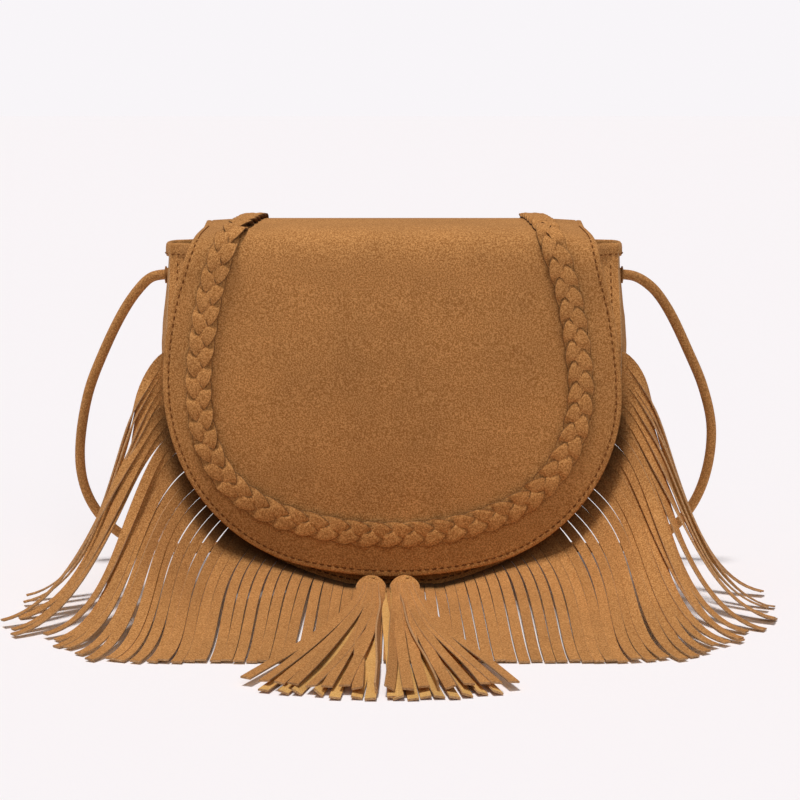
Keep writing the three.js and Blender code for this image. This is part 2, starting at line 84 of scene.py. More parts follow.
def make_camera():
    data = bpy.data.cameras.new("camera")
    data.lens = CAMERA_LENS
    data.sensor_width = CAMERA_SENSOR
    data.shift_x = CAMERA_SHIFT
    camera = bpy.data.objects.new("camera", data)
    camera.location = CAMERA_PLACE
    camera.rotation_euler = (math.radians(90 - CAMERA_DOWN), 0, 0)
    bpy.context.scene.collection.objects.link(camera)
    bpy.context.scene.camera = camera


def make_stage():
    mesh = bpy.data.meshes.new("floor")
    corners = [(FLOOR_HALF * x, FLOOR_HALF * y, 0) for x, y in ((-1, -1), (1, -1), (1, 1), (-1, 1))]
    mesh.from_pydata(corners, [], [(0, 1, 2, 3)])
    floor = bpy.data.objects.new("floor", mesh)
    bpy.context.scene.collection.objects.link(floor)
    material = bpy.data.materials.new("pale_floor")
    material.use_nodes = True
    shader = material.node_tree.nodes["Principled BSDF"]
    fill(shader, Base_Color=FLOOR_COLOUR, Roughness=1.0, Specular_IOR_Level=0.0)
    mesh.materials.append(material)


def make_light():
    """A weak even room light, a nearly white backdrop that only the camera sees, and two soft lamps."""
    world = bpy.data.worlds.new("studio")
    bpy.context.scene.world = world
    world.use_nodes = True
    tree = world.node_tree
    background = tree.nodes["Background"]
    fill(background, Color=ROOM_COLOUR, Strength=ROOM_STRENGTH)
    seen = tree.nodes.new("ShaderNodeBackground")
    fill(seen, Color=BACKDROP_COLOUR)
    path = tree.nodes.new("ShaderNodeLightPath")
    mix = tree.nodes.new("ShaderNodeMixShader")
    fill(mix, Fac=path.outputs["Is Camera Ray"])
    put(background.outputs[0], mix.inputs[1])
    put(seen.outputs[0], mix.inputs[2])
    fill(tree.nodes["World Output"], Surface=mix.outputs[0])
    for name, energy, angle, turn in LAMPS:
        data = bpy.data.lights.new(name, "SUN")
        data.energy = energy
        data.angle = math.radians(angle)
        data.color = LAMP_COLOUR
        lamp = bpy.data.objects.new(name, data)
        lamp.rotation_euler = [math.radians(a) for a in turn]
        bpy.context.scene.collection.objects.link(lamp)
    bpy.context.scene.view_settings.view_transform = "Standard"


make_camera()
make_stage()
make_light()


# Mesh helpers ------------------------------

EDGE_ROUND = 0.42  # how far a sheet's cut edge stands out, as a share of its thickness


def ramp(start, end, value):
    """0 before start, 1 after end, and smooth between them."""
    t = np.clip((np.asarray(value, float) - start) / (end - start), 0, 1)
    return t * t * (3 - 2 * t)


def unit(v):
    return v / np.maximum(np.linalg.norm(v, axis=-1, keepdims=True), 1e-9)


def smooth_line(points, per_span):
    """The points of a centripetal Catmull-Rom curve through the given ones."""
    p = np.array(points, float)
    p = np.vstack([2 * p[0] - p[1], p, 2 * p[-1] - p[-2]])
    out = []
    for i in range(1, len(p) - 2):
        a, b, c, d = p[i - 1 : i + 3]
        ab, bc, cd = (max(np.linalg.norm(v), 1e-6) ** 0.5 for v in (b - a, c - b, d - c))
        m1 = ((b - a) / ab - (c - a) / (ab + bc) + (c - b) / bc) * bc
        m2 = ((c - b) / bc - (d - b) / (bc + cd) + (d - c) / cd) * bc
        for k in range(per_span):
            u = k / per_span
            out.append(
                (2 * u**3 - 3 * u**2 + 1) * b
                + (u**3 - 2 * u**2 + u) * m1
                + (3 * u**2 - 2 * u**3) * c
                + (u**3 - u**2) * m2
            )
    return np.array(out + [p[-2]])


def lengths(line):
    """How far along the line each of its points is."""
    return np.concatenate([[0], np.cumsum(np.linalg.norm(np.diff(line, axis=0), axis=1))])


def xyz(x, y, z):
    """Points from their three parts, where each part is one number or many."""
    return np.stack(np.broadcast_arrays(x, y, z), axis=-1)


def read_off(s, along, values):
    """The values at the distances s, where along is each value's own distance."""
    return np.stack([np.interp(s, along, values[:, k]) for k in range(values.shape[1])], axis=-1)


def evenly(line, step):
    """The line again with points the same distance apart."""
    along = lengths(line)
    count = max(2, int(round(along[-1] / step)) + 1)
    return read_off(np.linspace(0, along[-1], count), along, line)


def tangents(line):
    return unit(np.gradient(line, axis=0))


def hills(points, scale, seed=0.0):
    """Smooth noise from about -1 to 1 at each point."""
    flat = np.asarray(points, float).reshape(-1, 3)
    shift = Vector((seed, seed * 1.7, -seed))
    out = [noise.noise(Vector(p) / scale + shift) for p in flat]
    return np.array(out).reshape(np.asarray(points).shape[:-1])


def tube_rings(line, right, up, radii, start=0.0):
    """Rings round a line, with one radius for each side."""
    angles = start + 2 * math.pi * np.arange(len(radii)) / len(radii)
    rings = [line + r * (math.cos(a) * right + math.sin(a) * up) for r, a in zip(radii, angles)]
    return np.stack(rings, axis=1)


def strip_faces(rows, columns, round_it=False):
    """Quads between rows of vertices, round and round where round_it is true."""
    faces = []
    for r in range(rows - 1):
        for c in range(columns if round_it else columns - 1):
            a = r * columns + c
            b = r * columns + (c + 1) % columns
            faces.append((a, b, b + columns, a + columns))
    return faces


class Pile:
    """Gathers the vertices and faces of one mesh, in millimetres."""

    def __init__(self):
        self.points, self.faces, self.kinds, self.tones, self.count = [], [], [], [], 0

    def add(self, points, faces, kinds=0, tone=0.5):
        points = np.asarray(points, float).reshape(-1, 3)
        self.faces += [tuple(self.count + i for i in f) for f in faces]
        self.kinds += [kinds] * len(faces) if isinstance(kinds, int) else list(kinds)
        self.tones += [tone] * len(points) if np.isscalar(tone) else list(tone)
        self.points.append(points)
        self.count += len(points)

    def tube(self, rings, kinds=0, tone=0.5, close_ends=True):
        """Rings of vertices joined into a tube. kinds is one number, or one for each side of a ring."""
        rows, columns = rings.shape[:2]
        faces = strip_faces(rows, columns, round_it=True)
        kind = [kinds] * len(faces) if isinstance(kinds, int) else list(kinds) * (rows - 1)
        if close_ends:
            faces.append(tuple(reversed(range(columns))))
            faces.append(tuple((rows - 1) * columns + i for i in range(columns)))
            kind += [kind[0] if isinstance(kinds, int) else max(kinds)] * 2
        self.add(rings, faces, kind, tone)

    def build(self, name, materials, smooth_angle=40):
        mesh = bpy.data.meshes.new(name)
        mesh.from_pydata((np.vstack(self.points) * MM).tolist(), [], self.faces)
        for m in materials:
            mesh.materials.append(m)
        mesh.polygons.foreach_set("material_index", self.kinds)
        # Each vertex's lightness for the suede: random differences between pieces and strands, and painted
        # shade.
        tone = mesh.attributes.new("tone", "FLOAT", "POINT")
        tone.data.foreach_set("value", np.array(self.tones, np.float32))
        mesh.validate()
        obj = bpy.data.objects.new(name, mesh)
        bpy.context.scene.collection.objects.link(obj)
        turn_outward(mesh)
        mesh.shade_smooth()
        mesh.set_sharp_from_angle(angle=math.radians(smooth_angle))
        return obj


def finish(obj, body, slot, *replaced):
    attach(obj, body)
    if replaced:
        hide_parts(*replaced)
    return obj


def turn_outward(mesh):
    """Makes the faces of each closed part look outward."""
    work = bmesh.new()
    work.from_mesh(mesh)
    bmesh.ops.recalc_face_normals(work, faces=work.faces)
    work.to_mesh(mesh)
    work.free()


def grid_normals(grid):
    """The direction square to the sheet at each of its points."""
    along = np.gradient(grid, axis=0)
    across = np.gradient(grid, axis=1)
    return unit(np.cross(across, along))


def thick_grid(pile, grid, thickness, normals, tone):
    """A sheet about a grid of middle points: kind 0 where the normals look, 1 below and 2 round its edge."""
    rows, columns = grid.shape[:2]
    top, bottom = grid + normals * thickness / 2, grid - normals * thickness / 2
    ring = [(0, c) for c in range(columns)] + [(r, columns - 1) for r in range(1, rows)]
    ring += [(rows - 1, c) for c in range(columns - 2, -1, -1)] + [(r, 0) for r in range(rows - 2, 0, -1)]
    centre = []
    for r, c in ring:
        inward_r = 1 if r == 0 else (-1 if r == rows - 1 else 0)
        inward_c = 1 if c == 0 else (-1 if c == columns - 1 else 0)
        out = np.zeros(3)
        if inward_r:
            out += unit(grid[r, c] - grid[r + inward_r, c])
        if inward_c:
            out += unit(grid[r, c] - grid[r, c + inward_c])
        centre.append(grid[r, c] + unit(out) * thickness * EDGE_ROUND)
    size = rows * columns
    points = np.vstack([top.reshape(-1, 3), bottom.reshape(-1, 3), np.array(centre)])
    face = strip_faces(rows, columns)
    under = [tuple(size + i for i in reversed(f)) for f in face]
    edge = []
    for i, (r, c) in enumerate(ring):
        j = (i + 1) % len(ring)
        a, b = r * columns + c, ring[j][0] * columns + ring[j][1]
        m, k = 2 * size + i, 2 * size + j
        edge += [(a, m, k, b), (m, size + a, size + b, k)]
    kinds = [0] * len(face) + [1] * len(under) + [2] * len(edge)
    pile.add(points, face + under + edge, kinds, tone)


def bezier(a, b, c, d, t):
    return (1 - t) ** 3 * a + 3 * (1 - t) ** 2 * t * b + 3 * (1 - t) * t**2 * c + t**3 * d


# Materials ---------------------------------

class Nodes:
    """A short way to write a material's nodes."""

    def __init__(self, name):
        self.material = bpy.data.materials.new(name)
        self.material.use_nodes = True
        self.tree = self.material.node_tree
        self.shader = self.tree.nodes["Principled BSDF"]

    def make(self, kind, **values):
        node = self.tree.nodes.new("ShaderNode" + kind)
        for key, value in values.items():
            setattr(node, key, value)
        return node

    def set(self, **values):
        fill(self.shader, **values)

    def noise(self, scale, detail=3, roughness=0.55, stretch=None):
        place = self.make("TexCoord").outputs["Object"]
        if stretch:
            mapping = self.make("Mapping")
            fill(mapping, Vector=place, Scale=stretch)
            place = mapping.outputs["Vector"]
        node = self.make("TexNoise")
        fill(node, Vector=place, Scale=scale, Detail=detail, Roughness=roughness)
        return node.outputs["Fac"]

    def spread(self, value, low, high, to_low=0.0, to_high=1.0):
        node = self.make("MapRange")
        fill(node, Value=value, From_Min=low, From_Max=high, To_Min=to_low, To_Max=to_high)
        return node.outputs["Result"]

    def calc(self, kind, a, b):
        node = self.make("Math", operation=kind)
        put(a, node.inputs[0])
        put(b, node.inputs[1])
        return node.outputs[0]

    def mix(self, share, a, b, blend="MIX"):
        node = self.make("Mix", data_type="RGBA", blend_type=blend)
        put(share, node.inputs["Factor"])
        put(a, node.inputs[6])
        put(b, node.inputs[7])
        return node.outputs[2]

    def bump(self, height, strength, distance):
        node = self.make("Bump")
        fill(node, Height=height, Strength=strength, Distance=distance)
        self.set(Normal=node.outputs["Normal"])


def suede(name, base, dark, light, nap=1.0):
    """Short-napped suede: light and dark fibres, blotches where the nap turns, and a lightness from the mesh
    that holds random differences and painted shade.
    """
    n = Nodes(name)
    fibres = n.noise(2100, 2, 0.6)
    curls = n.noise(1200, 2, 0.6)
    patches = n.noise(38, 4, 0.6)
    clouds = n.noise(11, 3, 0.5)
    speck = n.calc("ADD", n.calc("MULTIPLY", fibres, 0.45), n.calc("MULTIPLY", curls, 0.55))
    colour = n.mix(0.3, n.mix(n.spread(speck, 0.435, 0.585), dark, light), base)
    shade = n.calc("ADD", n.spread(patches, 0.3, 0.7, -0.07, 0.07), n.spread(clouds, 0.3, 0.7, -0.09, 0.09))
    # The mesh's value darkens or lightens the colour: random differences, and painted shade on the fringe
    # roots, the braid's sides and the tassels' eyes.
    tone = n.make("Attribute", attribute_name="tone").outputs["Fac"]
    shade = n.calc("ADD", shade, n.spread(tone, -1, 1, 0.16, 1.28))
    grey = n.make("CombineColor")
    for socket in grey.inputs[:3]:
        put(shade, socket)
    n.set(Base_Color=n.mix(1.0, colour, grey.outputs[0], "MULTIPLY"), Specular_IOR_Level=0.18)
    n.set(Roughness=n.spread(speck, 0.35, 0.65, 0.98, 0.86))
    n.set(Sheen_Weight=0.08, Sheen_Roughness=0.45, Sheen_Tint=(1.0, 0.78, 0.5, 1))
    n.bump(speck, 0.8 * nap, 0.0008)
    return n.material


def cloth(name, base, dark):
    """A plain weave of fine threads."""
    n = Nodes(name)
    place = n.make("TexCoord").outputs["Object"]
    threads = []
    for direction in ("X", "Z"):
        wave = n.make("TexWave", wave_type="BANDS", bands_direction=direction)
        fill(wave, Vector=place, Scale=260, Distortion=0.6)
        threads.append(wave.outputs["Fac"])
    weave = n.calc("MULTIPLY", *threads)
    colour = n.mix(n.calc("MULTIPLY", weave, n.noise(60, 3)), dark, base)
    n.set(Base_Color=colour, Roughness=0.85, Sheen_Weight=0.15)
    n.bump(weave, 0.4, 0.0003)
    return n.material


def brass(name):
    n = Nodes(name)
    worn = n.noise(300, 4, 0.6)
    colour = n.mix(n.spread(worn, 0.35, 0.7), (0.24, 0.16, 0.075, 1), (0.5, 0.36, 0.18, 1))
    n.set(Base_Color=colour, Metallic=1.0, Roughness=n.spread(worn, 0.3, 0.7, 0.28, 0.46))
    n.bump(n.noise(900, 2), 0.12, 0.0001)
    return n.material


def thread_material(name, base, dark):
    n = Nodes(name)
    twist = n.noise(2600, 2, 0.5, (1, 1, 0.4))
    n.set(Base_Color=n.mix(n.spread(twist, 0.4, 0.6), dark, base), Roughness=0.9, Specular_IOR_Level=0.1)
    n.bump(twist, 0.5, 0.0002)
    return n.material


SUEDE = suede("golden_tan_suede", (0.49, 0.218, 0.064, 1), (0.30, 0.115, 0.027, 1), (0.72, 0.36, 0.125, 1))
REVERSE = suede("ochre_reverse", (0.72, 0.40, 0.12, 1), (0.58, 0.285, 0.07, 1), (0.86, 0.54, 0.20, 1), 1.2)
CUT_EDGE = suede("cut_edge", (0.50, 0.27, 0.12, 1), (0.36, 0.18, 0.075, 1), (0.66, 0.40, 0.2, 1), 1.4)
LINING = cloth("brown_lining_cloth", (0.16, 0.1, 0.06, 1), (0.06, 0.036, 0.02, 1))
BRASS = brass("antique_brass")
THREAD = thread_material("tan_thread", (0.25, 0.095, 0.026, 1), (0.12, 0.042, 0.011, 1))
SUEDES = [SUEDE, REVERSE, CUT_EDGE]  # a piece's kinds 0, 1 and 2


# Strap -------------------------------------

STRAP_DIAMETER = 5.5
EXIT = (124.6, 4, 165)  # where it leaves the gusset on the right; the left side is the mirror
INSIDE = (114, 4, 165)
LEFT_ROUTE = [
    (-127, 4, 165), (-133, 5.5, 163.2), (-140.5, 8.5, 156), (-149, 12, 144), (-160.5, 16, 121.8),
    (-170.5, 19, 96.5), (-176, 22, 62.6), (-173.8, 25, 42.7), (-166.2, 29, 26.5), (-153, 35, 13),
    (-136, 43, 5.5), (-116, 51, 3), (-94, 58, 2.9), (-72, 60.5, 2.9), (-48, 59.6, 2.9), (-23, 59.3, 2.9),
]
RIGHT_ROUTE = [
    (127, 4, 165), (133, 5.5, 163.4), (142, 8.5, 157), (151, 12, 145), (163, 16, 121.5),
    (172, 19, 101), (177.5, 22, 78), (176, 25, 54), (169.5, 29, 34), (158, 35, 17.5),
    (142, 43, 7), (122, 51, 3.2), (98, 56.5, 2.9), (76, 59.4, 3.4), (48, 59.8, 6.4), (23, 59.3, 8.3),
]
COIL_CENTRE = (0, 92)
COIL_OUTER = 32.75
COIL_INNER = 27.25
COIL_LOW = 2.9
COIL_HIGH = 8.4
COIL_TURNS = 3
KNOT_X = 110.2
KNOT_SIZE = 2.1
KNOT_SQUEEZE = 0.62
KNOT_CORD_RADIUS = 1.9


def coil_points():
    """Three turns: in on the ground, up at the inside, round on top of the first and out again."""
    out = []
    steps = 16 * COIL_TURNS
    for i in range(steps + 1):
        turn = COIL_TURNS * i / steps
        inward = ramp(0, 1, turn) - ramp(2, 2.3, turn)
        radius = COIL_OUTER - (COIL_OUTER - COIL_INNER) * inward
        height = COIL_LOW + (COIL_HIGH - COIL_LOW) * ramp(1, 1.3, turn)
        angle = 2 * math.pi * turn - math.pi / 2
        x = COIL_CENTRE[0] + radius * math.cos(angle)
        y = COIL_CENTRE[1] + radius * math.sin(angle)
        out.append((x, y, height))
    return out


def carried_frames(line):
    """Two directions across the line at each point, carried along it without twist."""
    t = tangents(line)
    side = unit(np.cross(t[0], UP))
    sides = []
    for direction in t:
        side = unit(side - direction * (side @ direction))
        sides.append(side)
    sides = np.array(sides)
    return sides, np.cross(t, sides)


def cord_rings(line, radius, seam_depth=0.35, sides=16):
    """A round cord with the groove of its sewn edge along one side."""
    return tube_rings(line, *carried_frames(line), [radius - seam_depth] + [radius] * (sides - 1), 0.5)


def make_strap():
    """One cord from inside the left end of the bag, round the coil behind it, to inside the right end."""
    left_inside = (-INSIDE[0], INSIDE[1], INSIDE[2])
    route = [left_inside, *LEFT_ROUTE, *coil_points(), *reversed(RIGHT_ROUTE), INSIDE]
    line = evenly(smooth_line(route, 8), 2.2)
    wobble = hills(line, 14, 5)[:, None, None]
    rings = cord_rings(line, STRAP_DIAMETER / 2)
    rings = rings + (rings - line[:, None]) * (0.03 * wobble)
    pile = Pile()
    pile.tube(rings, 0, 0.42)
    strap = pile.build("strap_cord", SUEDES, 80)
    finish(strap, "bag", "suede", "strap_left", "strap_right", "strap_coil")


def make_knots():
    """The strap's two ends, each tied in a small knot inside the bag."""
    turns = np.linspace(0, 2 * math.pi, 73)
    across = KNOT_SIZE * (np.sin(turns) + 1.6 * np.sin(2 * turns))
    up = KNOT_SIZE * (np.cos(turns) - 1.6 * np.cos(2 * turns))
    deep = -1.5 * np.sin(3 * turns)
    for name, side in (("left", -1), ("right", 1)):
        x = side * (KNOT_X + deep * 1.2)
        line = xyz(x, EXIT[1] + across * KNOT_SQUEEZE, EXIT[2] + up * KNOT_SQUEEZE)
        pile = Pile()
        pile.tube(cord_rings(line, KNOT_CORD_RADIUS, 0.2, 12)[:-1], 0, 0.4)
        knot = pile.build(f"strap_knot_{name}_tied", SUEDES, 80)
        finish(knot, "bag", "suede", f"strap_knot_{name}")


make_strap()
make_knots()


# The pouch ---------------------------------

SEAM_RADIUS = 120
SEAM_CENTRE_Z = 118
HALF_WIDTH = SEAM_RADIUS
BODY_TOP = 183
HALF_DEPTH = 33.4
MOUTH_HALF_DEPTH = 10  # the bag's ends are squeezed flat at the mouth
MOUTH_FOLD_X = 90
CLOSING_FROM = 128
PANEL_BULGE = 2
PANEL_TRIM = 1.5  # how far a panel's top edge stays under the mouth
GUSSET_BULGE = 6
SUEDE_THICK = 1.6
SEAM_LAYERS = 1.6
GAP = 0.3
FLOOR_GAP = 0.7
STITCH_PITCH = 4.0
SEAM_STITCH_IN = 4.2
STITCH_SINK = 0.1
STITCH_PROFILE = [-0.42, 0.0, 0.2, 0.26, 0.2, 0.0, -0.42]  # how high a stitch stands along its length
HEM_SECTION = [  # (out, up) round the folded hem
    (1.35, -5.2), (1.62, -3.6), (1.62, -1.0), (1.35, 1.0), (0.6, 2.0), (-0.4, 2.1), (-1.15, 1.2),
    (-1.3, -1.0), (-1.3, -4.2), (-1.1, -5.4), (0.2, -5.6),
]


def closing(z):
    """From 0 to 1 as the sides close in towards the mouth."""
    return ramp(CLOSING_FROM, BODY_TOP, z)


def seam_half_depth(z):
    """Half the gusset's width at a height."""
    return HALF_DEPTH - (HALF_DEPTH - MOUTH_HALF_DEPTH) * closing(z)


def half_width_at(z, inset):
    """Half the panel's width at a height, inset from its seam."""
    radius = SEAM_RADIUS - inset
    down = SEAM_CENTRE_Z - np.asarray(z, float)
    return np.where(down <= 0, HALF_WIDTH - inset, np.sqrt(np.maximum(0, radius**2 - down**2)))


def panel_half_depth(x, z):
    """How far a panel's inner face is from the bag's middle."""
    side = ramp(MOUTH_FOLD_X, HALF_WIDTH, np.abs(x))
    width = np.maximum(1, half_width_at(z, 0))
    crown = np.maximum(0, 1 - (x / width) ** 2) * np.sin(np.pi * np.clip(z / BODY_TOP, 0, 1))
    return HALF_DEPTH - (HALF_DEPTH - MOUTH_HALF_DEPTH) * closing(z) * side + PANEL_BULGE * crown


def outline_heights(inset, bottom, top, round_steps=44, up_steps=22):
    """Heights up the U, close together where it is round."""
    radius = SEAM_RADIUS - inset
    first = math.acos((SEAM_CENTRE_Z - bottom) / radius)
    arc = SEAM_CENTRE_Z - radius * np.cos(np.linspace(first, math.pi / 2, round_steps))
    return np.concatenate([arc, np.linspace(SEAM_CENTRE_Z, top, up_steps)[1:]])


def close_at_ends(count, evenness):
    """Places from -1 to 1 that lie closer together near the ends."""
    even = np.linspace(-1, 1, count)
    return evenness * even + (1 - evenness) * np.sin(even * math.pi / 2)


def panel_grid(side, inner):
    z = outline_heights(0.0, FLOOR_GAP, BODY_TOP - PANEL_TRIM)[:, None]
    x = close_at_ends(61, 0.45) * half_width_at(z, 0.0)
    return xyz(x, side * (panel_half_depth(x, z) + inner), z)


def seam_line(inset, side, inner, top):
    """A line on a panel, inset from its U seam, from the left top round the bottom to the right top."""
    z = outline_heights(inset, inset, top, 60, 24)
    x = half_width_at(z, inset)
    right = xyz(x, side * (panel_half_depth(x, z) + inner), z)
    left = right[::-1] * np.array([-1, 1, 1])
    return np.vstack([left, right])


def stitch_row(pile, line, outward, pitch=STITCH_PITCH, share=0.62, radius=0.36):
    """Stitches along a line: short rounded threads that dip into their holes at both ends."""
    along = lengths(line)
    lift = np.array(STITCH_PROFILE)[:, None] - STITCH_SINK
    for i in range(int(along[-1] / pitch)):
        s = (i + 0.19) * pitch + np.linspace(0, pitch * share, len(STITCH_PROFILE))
        out = unit(read_off(s, along, outward))
        middle = read_off(s, along, line) + out * lift
        direction = unit(middle[-1] - middle[0])
        pile.tube(tube_rings(middle, unit(np.cross(direction, out)), out, [radius] * 6))


def make_panels():
    for name, side, inner, node in (
        ("front_suede", -1, SEAM_LAYERS, "front_panel"),
        ("back_suede", 1, GAP, "back_panel"),
    ):
        outward = np.array([0.0, side, 0.0])
        grid = panel_grid(side, inner + SUEDE_THICK / 2)
        calm = ramp(0, 18, half_width_at(grid[..., 2], 0) - np.abs(grid[..., 0]))
        sag = hills(grid * np.array([1, 0.2, 0.6]), 42, 3 + side) * 0.9 + hills(grid, 17, 9) * 0.25
        grid[..., 1] += side * (sag * calm * ramp(4, 40, grid[..., 2]) * 0.8 - 0.5 * calm)
        pile = Pile()
        thick_grid(pile, grid, SUEDE_THICK, np.broadcast_to(outward, grid.shape), 0.48)
        panel = finish(pile.build(name, SUEDES), "bag", "suede", node)
        line = seam_line(SEAM_STITCH_IN, side, inner + SUEDE_THICK, BODY_TOP - 9)
        pile = Pile()
        stitch_row(pile, line, np.broadcast_to(outward, line.shape))
        finish(pile.build(name.replace("suede", "seam_stitches"), [THREAD]), "bag", "thread")


def gusset_point(along, across, inset):
    """A point of the gusset: along the U and across the bag's depth, both from -1 to 1."""
    arc = math.pi / 2 * SEAM_RADIUS
    upright = BODY_TOP - SEAM_CENTRE_Z
    run = np.abs(along) * (arc + upright)
    angle = np.minimum(math.pi / 2, run / SEAM_RADIUS)
    z = SEAM_CENTRE_Z - SEAM_RADIUS * np.cos(angle) + np.maximum(0, run - arc)
    fullness = ramp(math.radians(30), math.radians(80), angle) * (1 - 0.65 * closing(z))
    out = GUSSET_BULGE * fullness * (1 - across**2) - inset
    x = np.sign(along) * (SEAM_RADIUS + out) * np.sin(angle)
    height = np.maximum(z - out * np.cos(angle), inset)
    return xyz(x, across * (seam_half_depth(z) - 0.15), height)


def make_gusset():
    along, across = np.meshgrid(np.linspace(-0.995, 0.995, 241), np.linspace(-1, 1, 29), indexing="ij")
    grid = gusset_point(along, across, SUEDE_THICK / 2)
    normals = -grid_normals(grid)
    middle = np.array([0, 0, 110])
    normals = normals * np.sign((normals * (grid - middle)).sum(-1, keepdims=True))
    high = ramp(70, 120, grid[..., 2])
    free = (1 - across**2) * high
    folds = hills(grid * np.array([1, 1.6, 0.35]), 13, 2) * 1.5 + hills(grid, 9, 4) * 0.35
    away = np.hypot(grid[..., 1] - EXIT[1], grid[..., 2] - EXIT[2])  # the folds fade out round the eyelets
    grid = grid + normals * (folds * free * ramp(6, 20, away) - 0.2 * free)[..., None]
    pile = Pile()
    thick_grid(pile, grid, SUEDE_THICK, normals, 0.46)
    gusset = finish(pile.build("gusset_suede", SUEDES), "bag", "suede", "gusset")


def mouth_line(height, out):
    """The mouth's closed outline at a height, a distance outside the panels' inner faces."""
    x = np.linspace(-HALF_WIDTH + 1, HALF_WIDTH - 1, 81)
    front = xyz(x, -(panel_half_depth(x, BODY_TOP) + SEAM_LAYERS + out), height)
    end = []
    for a in np.linspace(-1, 1, 9)[1:-1]:
        swell = GUSSET_BULGE * 0.35 * (1 - a * a) + out - 0.9
        end.append((HALF_WIDTH + swell, a * (MOUTH_HALF_DEPTH + 1), height))
    back = xyz(x[::-1], panel_half_depth(x[::-1], BODY_TOP) + GAP + out, height)
    other = [(-px, -py, pz) for px, py, pz in end]
    return evenly(smooth_line(np.vstack([front, end, back, other, front[:1]]), 3), 1.6)[:-1]


def make_hem():
    """The folded hem round the mouth, in one piece, with its stitches."""
    line = mouth_line(BODY_TOP - 1.6, SUEDE_THICK / 2)
    forward = unit(np.roll(line, -1, axis=0) - np.roll(line, 1, axis=0))
    out = unit(np.cross(forward, UP))
    crest = hills(line, 22, 6)[:, None] * 0.5
    rings = [line + out * a + UP * (b + crest * (1 if b > 0 else 0.2)) for a, b in HEM_SECTION]
    rings = np.stack(rings, axis=1)
    rings = np.concatenate([rings, rings[:1]])
    pile = Pile()
    pile.tube(rings, 0, 0.5, close_ends=False)
    finish(pile.build("mouth_hem", SUEDES, 60), "bag", "suede")
    edge = line + out * 1.66 - UP * 3.9
    pile = Pile()
    stitch_row(pile, edge, out, 3.6, 0.6)
    finish(pile.build("mouth_hem_stitches", [THREAD]), "bag", "thread")


def lining_ring(z):
    """The lining's outline at a height: front, right end, back and left end."""
    width = float(half_width_at(z, 3.2))
    across = close_at_ends(41, 0.35)
    x = across * width
    depth = panel_half_depth(x, z) - 1.8
    y = depth - ramp(0.96, 1.0, np.abs(across)) * 1.2
    end_y = np.linspace(-1, 1, 11)[1:-1] * (depth[-1] - 1.2)
    return np.vstack([xyz(x, -y, z), xyz(width, end_y, z), xyz(x[::-1], y[::-1], z), xyz(-width, -end_y, z)])


def pulled_in(values, by):
    """The values moved towards 0, and no further."""
    return np.sign(values) * np.maximum(np.abs(values) - by, 0)


def make_lining():
    """A cloth pouch with an outer and an inner face, joined round the mouth."""
    outer = np.array([lining_ring(z) for z in outline_heights(3.4, 3.6, 178, 30, 16)])
    wrinkle = hills(outer * np.array([1, 1, 0.5]), 19, 8) * 0.8 * ramp(10, 40, outer[..., 2])
    inner = outer.copy()
    inner[..., 0] = pulled_in(outer[..., 0], 0.7)
    inner[..., 1] = pulled_in(outer[..., 1], 0.8 + np.maximum(wrinkle, -0.4))
    rows, count = outer.shape[:2]
    shift = rows * count
    last = shift - count
    faces = strip_faces(rows, count, round_it=True)
    faces += [tuple(shift + i for i in reversed(f)) for f in faces]
    for c in range(count):
        d = (c + 1) % count
        faces.append((last + c, last + d, shift + last + d, shift + last + c))
    faces.append(tuple(reversed(range(count))))
    faces.append(tuple(shift + i for i in range(count)))
    pile = Pile()
    pile.add(np.vstack([outer.reshape(-1, 3), inner.reshape(-1, 3)]), faces)
    lining = finish(pile.build("lining_cloth", [LINING]), "bag", "lining_cloth", "lining")


make_panels()
make_gusset()
make_hem()
make_lining()


# Fringe ------------------------------------

FRINGE_RADIUS = 118.6
FRINGE_ROOT_Y = -(HALF_DEPTH + GAP + 0.5)
FRINGE_TOP = 94  # degrees round the U from the bottom's middle to the last strand
FRINGE_BEND = 0.53  # the share of that after which the row of tips turns back
FRINGE_HALF_FRONT = 112
FRINGE_SIDEWAYS = 82
FRINGE_FORWARD = 192
FRINGE_BACKWARD = 130
FRINGE_LEAVE = 52  # how far a strand keeps the way it leaves its root
FRINGE_LAND = 70
STRAND_STEP = 2.57
STRANDS = 74
STRAND_WIDTH = 5.34
STRAND_THICK = 0.9
STRAND_POINTS = 34
# Which material each side of a strand has: nap on top, ochre below and the cut edges between.
STRAND_KINDS = [0] * 3 + [2] * 3 + [1] * 3 + [2] * 3
REVERSED_KINDS = [1] * 3 + [2] * 3 + [0] * 3 + [2] * 3


def fringe_tip(angle):
    """Where a strand's tip lies: in a straight row in front, then back round each side."""
    lean = abs(angle) / FRINGE_TOP
    turn = math.radians(max(0, (lean - FRINGE_BEND) / (1 - FRINGE_BEND)) * 90)
    x = FRINGE_HALF_FRONT * min(1, lean / FRINGE_BEND) + FRINGE_SIDEWAYS * math.sin(turn)
    y = FRINGE_BACKWARD * (1 - math.cos(turn)) - FRINGE_FORWARD
    return np.array([math.copysign(x, angle), y, 1.1])


